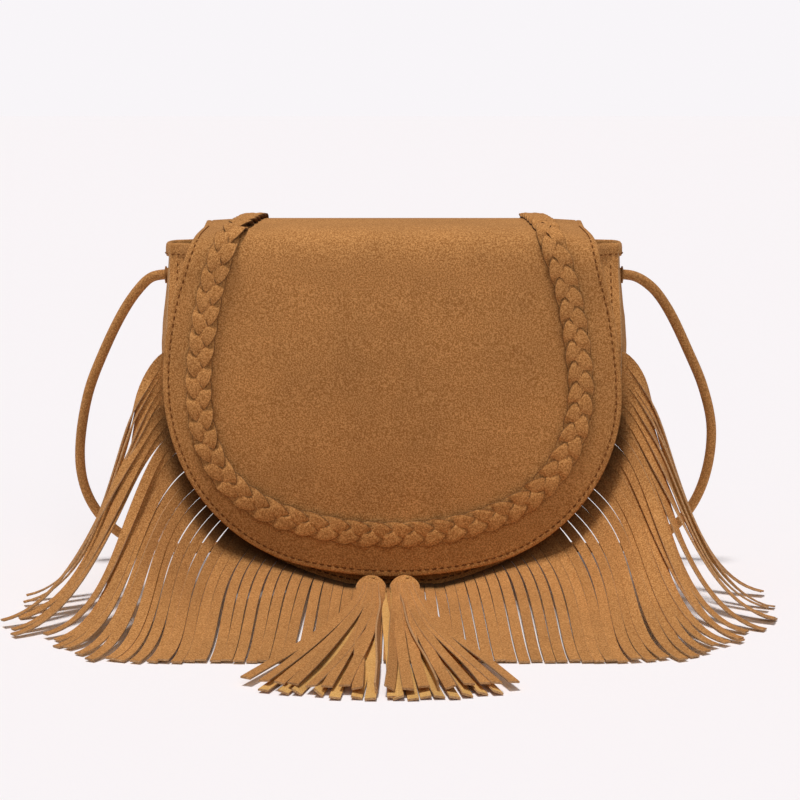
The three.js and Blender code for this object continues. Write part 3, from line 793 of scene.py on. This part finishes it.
def fringe_line(angle, tip_angle, shift):
    """A strand's middle line: out of the seam, over and down on to the ground.

    At the sides it hangs first and then flares."""
    turn = math.radians(min(90, abs(angle)))
    side = math.copysign(1, angle)
    above = math.radians(max(0, abs(angle) - 90)) * FRINGE_RADIUS
    lean = abs(angle) / FRINGE_TOP
    hang = float(ramp(0.35, 0.95, lean))
    root_z = max(1.8, SEAM_CENTRE_Z - FRINGE_RADIUS * math.cos(turn) + above)
    root = np.array([side * FRINGE_RADIUS * math.sin(turn), FRINGE_ROOT_Y, root_z])
    reach = FRINGE_LEAVE - 25 * hang
    outward = 0.15 + 0.85 * float(ramp(0.15, 0.6, lean))
    down = min(0.9 * math.cos(turn) * reach, root_z - 1.8) * float(ramp(0.15, 0.5, lean)) + 10 * hang
    leave = np.array([side * math.sin(turn) * outward * reach, -0.75 * (1 - lean) ** 2 * reach, -down])
    tip = fringe_tip(tip_angle) + np.array(shift)
    inward = 0.1 * lean + 0.6 * lean * float(ramp(0.35, 0.8, lean))
    land = np.array([-side * inward, 1 - 0.82 * lean, 0.1 * lean * lean]) * FRINGE_LAND
    t = np.linspace(0, 1, STRAND_POINTS)[:, None]
    return bezier(root, root + leave, tip + land, tip, t)


def strand_section(w, h):
    """Points round a strand's section as (across, up), with its cut edges nearly square."""
    top = [(-w + 0.12, h), (-w * 0.4, h * 1.06), (w * 0.4, h * 1.06), (w - 0.12, h)]
    bottom = [(x, -y) for x, y in reversed(top)]
    return top + [(w, h * 0.55), (w, -h * 0.55)] + bottom + [(-w, -h * 0.55), (-w, h * 0.55)]


def add_strand(pile, line, across, half_width, half_thick=STRAND_THICK / 2, tone=0.5, kinds=STRAND_KINDS):
    """A flat strand along a line. half_width is one number, or one for each point of the line."""
    along = tangents(line)
    across = unit(across - along * (across * along).sum(1, keepdims=True))
    normal = np.cross(along, across)
    normal = np.where(normal[:, 2:].mean() < 0, -normal, normal)
    rings = []
    for point, right, up, width in zip(line, across, normal, np.broadcast_to(half_width, len(line))):
        rings.append([point + right * a + up * b for a, b in strand_section(width, half_thick)])
    pile.tube(np.array(rings), kinds, tone)


def strand_groups(rng):
    """Strands lie in groups of two to four. For each strand: its group's middle and two shifts."""
    groups = []
    while len(groups) < STRANDS:
        size = rng.choice((2, 3, 3, 4))
        groups += [(len(groups) + (size - 1) / 2, rng.gauss(0, 1), rng.gauss(0, 1))] * size
    return groups


def make_fringe():
    rng = random.Random(7)
    groups = strand_groups(rng)
    middle = (STRANDS - 1) / 2
    aside = 0.6
    pile = Pile()
    for i, (centre, push, pull) in enumerate(groups[:STRANDS]):
        angle = (i - middle) * STRAND_STEP
        lean = abs(angle) / FRINGE_TOP
        wild = float(ramp(0.5, 0.82, lean))  # 0 for the combed front strands, 1 for the loose side ones
        tip_angle = angle + ((centre - middle) * STRAND_STEP - angle) * 0.2 * wild
        shift = (
            push * 2.5 * wild + rng.gauss(0, 0.4 + 2.0 * wild),
            pull * 4 * wild + rng.gauss(0, 0.5 + 3 * wild),
            abs(rng.gauss(0, 0.35 + 1.0 * wild)),
        )
        line = fringe_line(angle, tip_angle, shift)
        ahead = fringe_line(angle + aside, tip_angle + aside, shift)
        behind = fringe_line(angle - aside, tip_angle - aside, shift)
        across = unit(ahead - behind)
        normal = unit(np.cross(across, tangents(line)))
        t = np.linspace(0, 1, STRAND_POINTS)
        turned = math.copysign(0.25 + 0.5 * rng.random(), angle) * rng.choice((1, 1, 1, 1, -0.8))
        most = turned if wild > 0.3 else rng.gauss(0, 0.05)
        eased = ramp(0.06, 0.4, t) * (1 - 0.7 * ramp(0.5, 0.95, t))
        twist = most * max(float(ramp(0.68, 1.0, lean)), 0.3) * eased[:, None]
        sway = rng.gauss(0, 0.10 + 1.6 * wild) * np.sin(math.pi * t)[:, None] * across
        raised = (i - centre) * 1.05 * wild + (i % 2 - 0.5) * 0.22
        line = line + sway + raised * ramp(0.06, 0.3, t)[:, None] * normal
        across = across * np.cos(twist) + normal * np.sin(twist)
        low = 0.62 + STRAND_WIDTH / 2 * np.abs(unit(across)[:, 2])
        line[:, 2] = np.maximum(line[:, 2], low + 0.35 * (i % 2) * ramp(0.5, 0.9, t))
        width = STRAND_WIDTH / 2 * rng.uniform(0.975, 1.0)
        # Painted shade: each strand is darker near its root, where the flap's shadow falls at rest, except
        # the highest side strands. The random part is each strand's own lightness.
        root_shade = 1.25 * (1 - ramp(0.07, 0.19, t)) * (1 - ramp(0.8, 0.95, lean))
        shade = 0.5 + rng.uniform(-0.1, 0.1) - root_shade
        add_strand(pile, line, across, width, tone=np.repeat(shade, len(STRAND_KINDS)))
    strands = finish(pile.build("fringe_strands", SUEDES, 35), "bag", "suede", "fringe")


make_fringe()


# Flap --------------------------------------

# The flap's outer face in side view as (y, z): up the front, over the mouth and down to the seam on the back.
MERIDIAN = [
    (-47.6, 8.1), (-46.9, 36), (-46.9, 64), (-45.6, 100), (-44.4, 140), (-43.6, 168), (-43.2, 178),
    (-41.6, 184.8), (-37.4, 189.6), (-29, 192.5), (-8, 194.2), (12, 194.9), (27, 194.6), (34.6, 193.2),
    (38.2, 188.5), (38.7, 178), (38.5, 165), (38.4, 150),
]
MERIDIAN_LINE = smooth_line([(0, y, z) for y, z in MERIDIAN], 16)
MERIDIAN_AT = lengths(MERIDIAN_LINE)
MERIDIAN_NORMAL = np.cross(np.array([1.0, 0, 0]), tangents(MERIDIAN_LINE))
FRONT_POINTS = 112  # the points of that line on the flap's front, where it only rises
FLAP_LENGTH = MERIDIAN_AT[-1]
FLAP_BOTTOM = 8.5
FLAP_ARCS = [(207, 13.5), (94, 87.5), (190, 108)]  # radius and where it ends, in degrees from straight down
FLAP_ARCS_TOP = 170
FLAP_THICK = 1.65
FLAP_STEPS = 15
FACING_FROM = 1.75
FACING_SHORT = 30  # how much sooner than the outer suede the facing ends
CHANNEL_IN = 3.0  # the sewn channel's distance from the flap's edge
EDGE_BAND = 5
SPINE_FIRST = 64  # where the rows of vertices from the flap's bottom edge meet its middle line
SPINE_LEVEL = 108
WELD = 0.00002  # metres


def at_height(z):
    """How far up the flap's front a height is."""
    return float(np.interp(z, MERIDIAN_LINE[:FRONT_POINTS, 2], MERIDIAN_AT[:FRONT_POINTS]))


def flap_point(x, m, depth=0.0):
    """A point of the flap's outer face: x across, m up from its bottom edge, and how far under the face."""
    face = read_off(m, MERIDIAN_AT, MERIDIAN_LINE)
    out = read_off(m, MERIDIAN_AT, MERIDIAN_NORMAL)
    front = 1 - ramp(150, 185, m)
    wrap = 1.5 * np.abs(x / HALF_WIDTH) ** 3 * front
    relief = hills(xyz(x, 0, m), 55, 12) * 0.7 * front * ramp(0, 30, m)
    before_fold = 1 - ramp(FLAP_LENGTH - 70, FLAP_LENGTH - 42, m)
    droop = 5.0 * ramp(76, 112, np.abs(x)) * ramp(150, 196, m) * before_fold  # at the two top corners
    y, z = (face[..., k] + out[..., k] * (relief - depth) for k in (1, 2))
    return xyz(x, y + wrap, z - droop)


def flap_normal(m):
    """The direction out of the flap at a distance up from its bottom edge."""
    return unit(read_off(m, MERIDIAN_AT, MERIDIAN_NORMAL))


def flap_outline(side):
    """The outline of one side as (x, m), from the bottom's middle to the end on the back."""
    points = []
    centre = np.array([0.0, FLAP_BOTTOM + FLAP_ARCS[0][0]])
    start = 0.0
    for i, (radius, until) in enumerate(FLAP_ARCS):
        angles = np.radians(np.linspace(start, until, 3 + int((until - start) / 2.2)))
        for angle in angles[1 if i else 0:]:
            z = centre[1] - radius * math.cos(angle)
            if z < FLAP_ARCS_TOP:
                points.append((centre[0] + radius * math.sin(angle), at_height(z)))
        if i + 1 < len(FLAP_ARCS):
            shift = radius - FLAP_ARCS[i + 1][0]
            turn = math.radians(until)
            centre = centre + np.array([shift * math.sin(turn), -shift * math.cos(turn)])
            start = until
    fold = FLAP_LENGTH - 38
    top = [(107.2, 178), (106, 186), (105.4, 196), (104.8, 214), (104.2, 234), (103.4, fold),
           (102.4, fold + 12), (101.2, fold + 26), (98.6, FLAP_LENGTH - 3.5), (95, FLAP_LENGTH)]
    last = points[-1][1]
    points += [(x, m) for x, m in top if m > last + 3]
    line = smooth_line([(x, 0, m) for x, m in points], 2)[:, [0, 2]]
    m = line[:, 1]
    if side < 0:
        wider = 0.011 * ramp(60, 110, m) * (1 - ramp(165, 190, m))
    else:
        wider = -0.012 * ramp(85, 130, m) * (1 - ramp(150, 190, m))
    line[:, 0] *= side * (1 + wider)
    return line


def flap_spine(outline):
    """For each outline point, the point of the middle line that its row of vertices runs to."""
    m = outline[:, 1]
    reached = int(np.argmax(m >= SPINE_LEVEL))
    out = m.copy()
    share = np.arange(reached + 1) / reached
    out[:reached + 1] = SPINE_FIRST + (m[reached] - SPINE_FIRST) * share**1.35
    return np.column_stack([np.zeros_like(out), out])


# The edge and its sewn channel, as (distance in from the edge, depth under the face).
OUTER_EDGE = [
    (2.0, 1.65), (0.45, 1.62), (0.08, 1.3), (0.0, 0.85), (0.14, 0.36), (0.55, 0.09), (1.3, 0.0), (2.1, 0.02),
    (2.55, 0.14), (2.85, 0.3), (3.15, 0.3), (3.45, 0.14), (3.9, 0.02), (5.0, 0.0),
]
FACING_EDGE = [
    (5.0, 1.75), (2.0, 1.75), (0.75, 1.78), (0.4, 2.1), (0.36, 2.5), (0.55, 2.85), (1.2, 3.0), (2.5, 3.0),
    (2.9, 2.82), (3.3, 2.82), (3.7, 3.0), (5.0, 3.0),
]


def sheet_half(outline, profile, inner_depth):
    """For each outline point, vertices from the middle line on the hidden side, round the edge and back."""
    spine = flap_spine(outline)
    inward = unit(spine - outline)
    far = np.linalg.norm(spine - outline, axis=1)

    def column(distance, depth):
        flat = outline + inward * distance[:, None]
        return flap_point(flat[:, 0], flat[:, 1], depth)

    edge = [column(np.minimum(distance, far * 0.9), depth) for distance, depth in profile]
    steps = [EDGE_BAND + (far - EDGE_BAND) * (i / FLAP_STEPS) for i in range(1, FLAP_STEPS + 1)]
    hidden = [column(distance, inner_depth) for distance in reversed(steps)]
    face = [column(distance, profile[-1][1]) for distance in steps]
    return np.stack(hidden + edge + face, axis=1)


def join_close(mesh):
    """Merges vertices that lie on each other and closes what stays open."""
    work = bmesh.new()
    work.from_mesh(mesh)
    bmesh.ops.remove_doubles(work, verts=work.verts, dist=WELD)
    bmesh.ops.holes_fill(work, edges=[e for e in work.edges if e.is_boundary], sides=0)
    bmesh.ops.recalc_face_normals(work, faces=work.faces)
    work.to_mesh(mesh)
    work.free()


def make_flap():
    """The outer suede, in one piece with its strip on the back, and the facing under it."""
    outer, facing = ["flap_outer", "flap_back_strip"], ["flap_lining"]
    facing_end = FLAP_LENGTH - FACING_SHORT
    for name, slot, nodes, profile, inner, face_kind, end, length, area in (
        ("flap_suede", "suede", outer, OUTER_EDGE, FLAP_THICK, 0, math.inf, 0.328, 0.072),
        ("flap_facing", "suede_reverse", facing, FACING_EDGE, FACING_FROM, 1, facing_end, 0.297, 0.0645),
    ):
        pile = Pile()
        for side in (-1, 1):
            outline = flap_outline(side)
            half = sheet_half(outline, profile, inner)[outline[:, 1] <= end]
            rows, columns = half.shape[:2]
            faces = strip_faces(rows, columns)
            kinds = [1 if f[0] % columns <= FLAP_STEPS else face_kind for f in faces]
            lid = tuple((rows - 1) * columns + i for i in range(columns))
            pile.add(half, faces + [lid], kinds + [0])
        flap = pile.build(name, SUEDES, 50)
        join_close(flap.data)
        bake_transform(flap)
        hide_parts(*nodes)


def make_flap_stitches():
    """One row round the flap's edge, in its channel, and one along the end on the back."""
    left, right = flap_outline(-1), flap_outline(1)
    line = np.vstack([left[::-1], right[1:]])
    spine = np.vstack([flap_spine(left)[::-1], flap_spine(right)[1:]])
    flat = line + unit(spine - line) * CHANNEL_IN
    x, m = flat[flat[:, 1] < FLAP_LENGTH - 52].T
    pile = Pile()
    stitch_row(pile, flap_point(x, m, 0.12), flap_normal(m), STITCH_PITCH, 0.6, 0.38)
    finish(pile.build("flap_stitches", [THREAD], 80), "flap", "thread")
    x = np.linspace(-96, 96, 90)
    m = np.full_like(x, FLAP_LENGTH - 5)
    pile = Pile()
    stitch_row(pile, flap_point(x, m), flap_normal(m), STITCH_PITCH, 0.6, 0.38)
    finish(pile.build("back_strip_stitches", [THREAD], 80), "bag", "thread")


make_flap()
make_flap_stitches()


# Plaited trim ------------------------------

# The trim's middle line as (x, height) on the front, and its ends as (x, distance on from the front's top).
BRAID_FRONT = [
    (-91.5, 176), (-96, 160), (-100, 138), (-102.6, 112), (-99.8, 84), (-88.5, 61), (-70.5, 46.5), (-49, 38),
    (-24, 33), (0, 31.6), (25, 33.4), (50, 40), (70, 50), (87, 68), (95.3, 87), (98.2, 106), (95.6, 135),
    (91.8, 156), (86.8, 174),
]
BRAID_LEFT_END = [(-76.5, 88), (-77.5, 73), (-79, 53), (-81, 32), (-84.5, 17), (-88, 8)]
BRAID_RIGHT_END = [(82.5, 8), (80.5, 17), (79, 32), (78, 53), (77, 73), (76, 88)]
BRAID_FRONT_TOP = 178
BRAID_PERIOD = 33.0
BRAID_SWING = 3.3
BRAID_HEIGHT = 1.8
BRAID_RISE = 1.1
BRAID_TILT = 0.1
BRAID_FAT = 3.7
BRAID_THICK = 0.58
BRAID_SIDES = 18
# Painted shade: how much darker each side of a strand is painted, as its edges and its underside lie in deep
# shade.
BRAID_SHADE = np.array([1.5, 0.75] + [0.0] * 6 + [0.75, 1.5] + [1.3] * 8)


def braid_path():
    """The trim's middle line as (x, m)."""
    top = at_height(BRAID_FRONT_TOP)
    left, right = ([(x, top + on) for x, on in end] for end in (BRAID_LEFT_END, BRAID_RIGHT_END))
    front = [(x, at_height(z)) for x, z in BRAID_FRONT]
    line = [(x, 0, m) for x, m in left + front + right]
    return evenly(smooth_line(line, 12), 0.9)[:, [0, 2]]


def braid_rings(centre, across, up, fat, ripple):
    """Rings round a flat strand with square edges, a crowned top and fine creases along it."""
    rings = []
    for j in range(BRAID_SIDES):
        angle = 2 * math.pi * j / BRAID_SIDES
        c, d = math.cos(angle), math.sin(angle)
        crease = 0.13 * np.sin(7 * angle + ripple) * (d > 0.3)
        c = math.copysign(abs(c) ** 0.6, c)
        d = math.copysign(abs(d) ** 0.5, d) * (1 + 0.45 * (1 - c * c))
        rings.append(centre + across * (fat * c)[:, None] + up * (BRAID_THICK * d + crease)[:, None])
    return np.stack(rings, axis=1)


def make_braid():
    """Three flat strands plaited: each goes over at an edge, then under and across to the other edge."""
    path = braid_path()
    flat = np.column_stack([path[:, 0], np.zeros(len(path)), path[:, 1]])
    s = lengths(flat)
    periods = round(s[-1] / BRAID_PERIOD)
    along = tangents(flat)
    side = np.stack([along[:, 2], -along[:, 0]], axis=1)  # to the right of the way, in the flap's own plane
    sink = 1 - 0.3 * ramp(195, 235, path[:, 1])
    pile = Pile()
    for k in range(3):
        phase = 2 * math.pi * (s / s[-1] * periods) + k * 2 * math.pi / 3
        offset = BRAID_SWING * np.tanh(1.2 * np.sin(phase)) / math.tanh(1.2) + hills(flat, 9, 30 + k) * 0.3
        middle = path + side * offset[:, None]
        over = -np.tanh(2.6 * np.sin(2 * phase))
        centre = flap_point(middle[:, 0], middle[:, 1], -(BRAID_HEIGHT + BRAID_RISE * over) * sink)
        normal = flap_normal(middle[:, 1])
        way = tangents(centre)
        across = unit(np.cross(way, normal))
        tilt = BRAID_TILT * np.cos(phase) * np.sign(np.sin(phase)) * ramp(0, 0.6, np.abs(np.sin(phase)))
        across = unit(across * np.cos(tilt)[:, None] + normal * np.sin(tilt)[:, None])
        up = unit(np.cross(across, way))
        up = up * np.sign((up * normal).sum(1, keepdims=True))
        fat = BRAID_FAT + 0.1 * over + hills(flat, 5, 40 + k) * 0.2
        # Painted shade: a strand is lighter where it goes over and darker where it passes under, and darker
        # on its sides by BRAID_SHADE. Each of the three strands also differs a little in lightness.
        tone = (0.5 + 0.07 * over + 0.04 * (k - 1))[:, None] - BRAID_SHADE
        pile.tube(braid_rings(centre, across, up, fat, 3 * hills(flat, 6, 50 + k)), 0, tone.ravel())
    for i in range(6 * periods):
        at = (i + 0.5) * s[-1] / (6 * periods)
        x, m = read_off(at + np.array([-0.9, 0.9]), s, path).T
        ends = flap_point(x, m, -3.5 * float(np.interp(at, s, sink)))
        stitch_row(pile, ends, flap_normal(m), 1.8, 0.62, 0.3)
    finish(pile.build("plaited_trim", SUEDES, 50), "flap", "suede", "braid")


make_braid()


# Tassels -----------------------------------

HEAD_Y = -50.2
HEAD_HALF = 7.6
HEAD_ROUND = HEAD_HALF * 0.8
HEAD_THICK = 1.1
HEAD_AT = [0, 3, 6, 9, 14, 22]  # distances forward
HEAD_HIGH = [9.4, 7.9, 6.8, 6.0, 5.1, 4.4]  # and how high the head's middle is there
UPPER_STRANDS = 9
LOWER_STRANDS = 8
UPPER_REACH = 198
LOWER_REACH = 204.5


def head_height(forward, across):
    return np.interp(forward, HEAD_AT, HEAD_HIGH) - 1.5 * (across / HEAD_HALF) ** 2


def tassel_head(pile, x):
    """The uncut band at the top: two tabs with round tops that slope down to the strands."""
    for layer, drop in enumerate((0.0, 1.15)):
        rows = []
        for forward in (0.12, 0.5, 1.2, 2.2, 3.6, 5.2, 7.0, 8.6):
            reach = max(0.0, HEAD_ROUND - forward) / HEAD_ROUND
            half = (HEAD_HALF - 0.35 * layer) * math.sqrt(max(0.02, 1 - reach * reach))
            across = np.linspace(-1, 1, 15) * half
            rows.append(xyz(x + across, HEAD_Y + 0.7 - forward, head_height(forward, across) - drop))
        grid = np.array(rows)
        up = unit(np.array([0, -0.35, 1.0]))
        thick_grid(pile, grid, HEAD_THICK, np.broadcast_to(up, grid.shape), 0.5)


def tassel_eye(pile, x):
    """A small eye in the upper tab, its ring painted darker as the shade of the hole."""
    turn = np.linspace(0, 2 * math.pi, 13)
    ring = xyz(x + 1.4 + 0.62 * np.cos(turn), HEAD_Y - 1.7 + 0.62 * np.sin(turn), 9.05)
    # Painted shade: the ring's low value darkens it to stand for the shade in the hole.
    pile.tube(cord_rings(ring, 0.3, 0, 6)[:-1], 1, 0.05)


def tassel_strand(pile, rng, x, lean, tip_x, reach, upper, turned):
    start_x = x + lean * (HEAD_HALF - 2.0)
    low = 0.0 if upper else 1.1
    start = np.array([start_x, HEAD_Y - 4.6, float(head_height(5.3, start_x - x)) - low - 0.25])
    spread = tip_x - start_x
    tip = np.array([tip_x, HEAD_Y - reach, (4.0 if upper else 1.0) + rng.uniform(0, 0.7)])
    leave = np.array([spread * 0.02, -reach * 0.31, -2.2])
    land = np.array([-spread * 0.5, reach * 0.33, 1.3 if upper else 0.2])
    t = np.linspace(0, 1, 32)
    line = bezier(start, start + leave, tip + land, tip, t[:, None])
    line[:, 0] += rng.gauss(0, 1.3) * np.sin(math.pi * t) + rng.gauss(0, 0.5) * np.sin(3 * math.pi * t)
    roll = 0.42 * lean * (1 - ramp(0.1, 0.5, t)) + rng.gauss(0, 0.16) * ramp(0.1, 0.5, t)
    roll = roll + rng.gauss(0, 0.22) * ramp(0.6, 1, t) + turned * ramp(0.05, 0.3, t)
    across = xyz(np.cos(roll), 0, -np.sin(roll))
    width = 1.95 + 0.62 * ramp(0.1, 0.6, t)
    line[:, 2] = np.maximum(line[:, 2], 0.7 + width * np.abs(np.sin(roll)))
    kinds = STRAND_KINDS if upper else REVERSED_KINDS
    add_strand(pile, line, across, width, 0.46, 0.5 + rng.uniform(-0.12, 0.12), kinds)


def make_tassel(name, x, upper_tips, lower_tips, edge_on, seed):
    """One tassel. The tips' ranges are in x, and edge_on is the upper strand that stands on its edge."""
    rng = random.Random(seed)
    pile = Pile()
    tassel_head(pile, x)
    for upper, (first, last), count, longest in (
        (False, lower_tips, LOWER_STRANDS, LOWER_REACH),
        (True, upper_tips, UPPER_STRANDS, UPPER_REACH),
    ):
        for i in range(count):
            u = i / (count - 1)
            tip_x = first + (last - first) * u + rng.uniform(-1.2, 1.2)
            reach = longest - 0.004 * tip_x**2 + rng.uniform(-2.2, 1.2)
            turned = 1.15 if upper and i == edge_on else 0.0
            tassel_strand(pile, rng, x, 2 * u - 1, tip_x, reach, upper, turned)
    tassel_eye(pile, x)
    finish(pile.build(f"{name}_strands", SUEDES, 35), name, "suede", name)


make_tassel("tassel_left", -12.2, (-66, -8), (-58, -1), 8, 5)
make_tassel("tassel_right", 5.7, (-1, 53), (2, 46), 3, 9)


# CAD parts that keep their shape -----------

def dress(names, material):
    """Gives CAD parts a material and smooth faces."""
    for name in names:
        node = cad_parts[name]
        node.data.materials.clear()
        node.data.materials.append(material)
        for polygon in node.data.polygons:
            polygon.use_smooth = True
        node.data.set_sharp_from_angle(angle=math.radians(35))


dress(["snap_socket", "snap_stud", "snap_socket_washer", "snap_stud_washer"], BRASS)
dress(["tassel_thong_left", "tassel_thong_right", "strap_eyelet_left", "strap_eyelet_right"], SUEDE)
